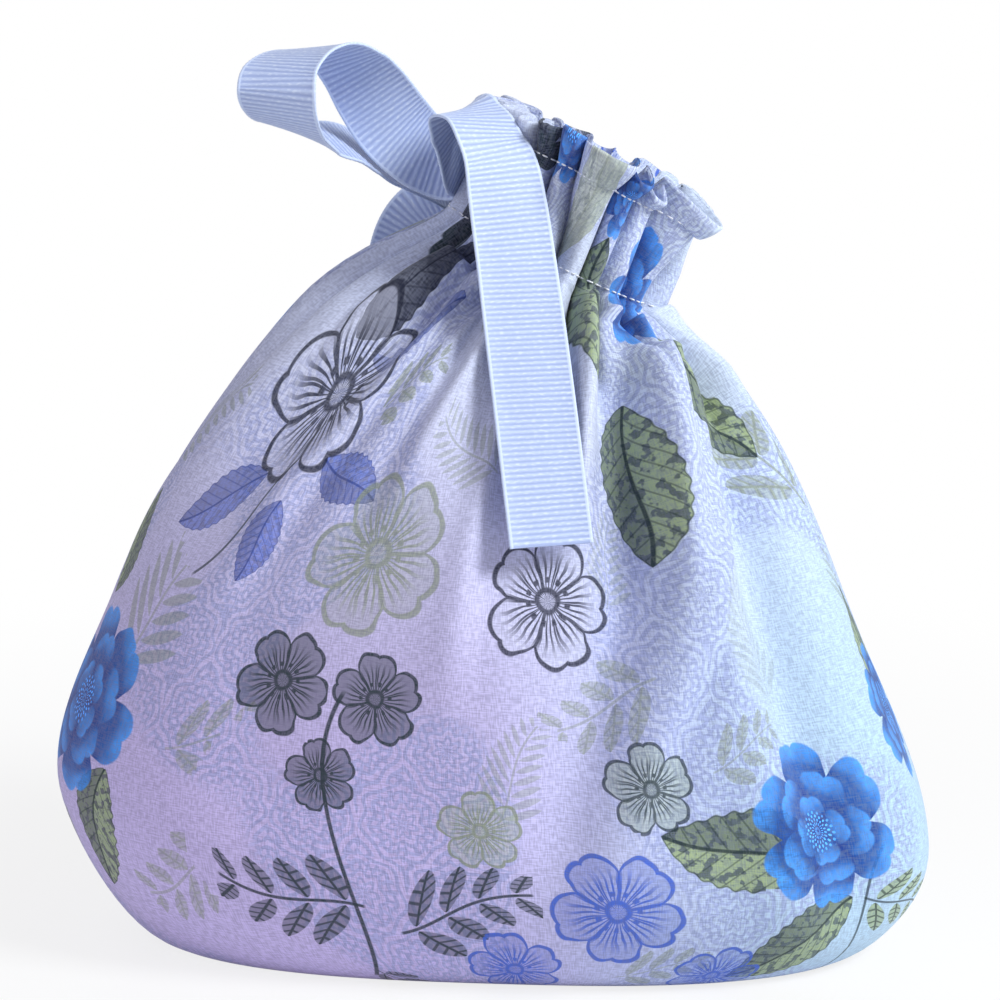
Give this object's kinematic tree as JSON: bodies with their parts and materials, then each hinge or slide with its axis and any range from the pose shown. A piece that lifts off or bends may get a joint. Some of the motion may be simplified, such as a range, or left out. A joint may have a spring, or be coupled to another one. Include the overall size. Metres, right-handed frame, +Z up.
{
  "type": "drawstring pouch",
  "caption": "Filled kinchaku pouch of printed cotton, gathered at a leaning neck by a wide ribbed ribbon in a stitched channel, with a ruffle above it.",
  "frame": {"origin": "on the surface it stands on, under the middle of the pouch without its ribbon", "axes": "+Z up, the front faces -Y, and +X is to the right seen from the front"},
  "size_m": [0.2476, 0.1582, 0.2497],
  "materials": {
    "front_cotton": "matte",
    "back_cotton": "matte",
    "ribbon": "satin",
    "thread": "satin"
  },
  "bodies": {
    "root": {"front_panel": "front_cotton", "back_panel": "back_cotton", "front_lower_stitching": "thread", "front_upper_stitching": "thread", "back_lower_stitching": "thread", "back_upper_stitching": "thread", "ribbon_drawstring": "ribbon"}
  },
  "joints": []
}
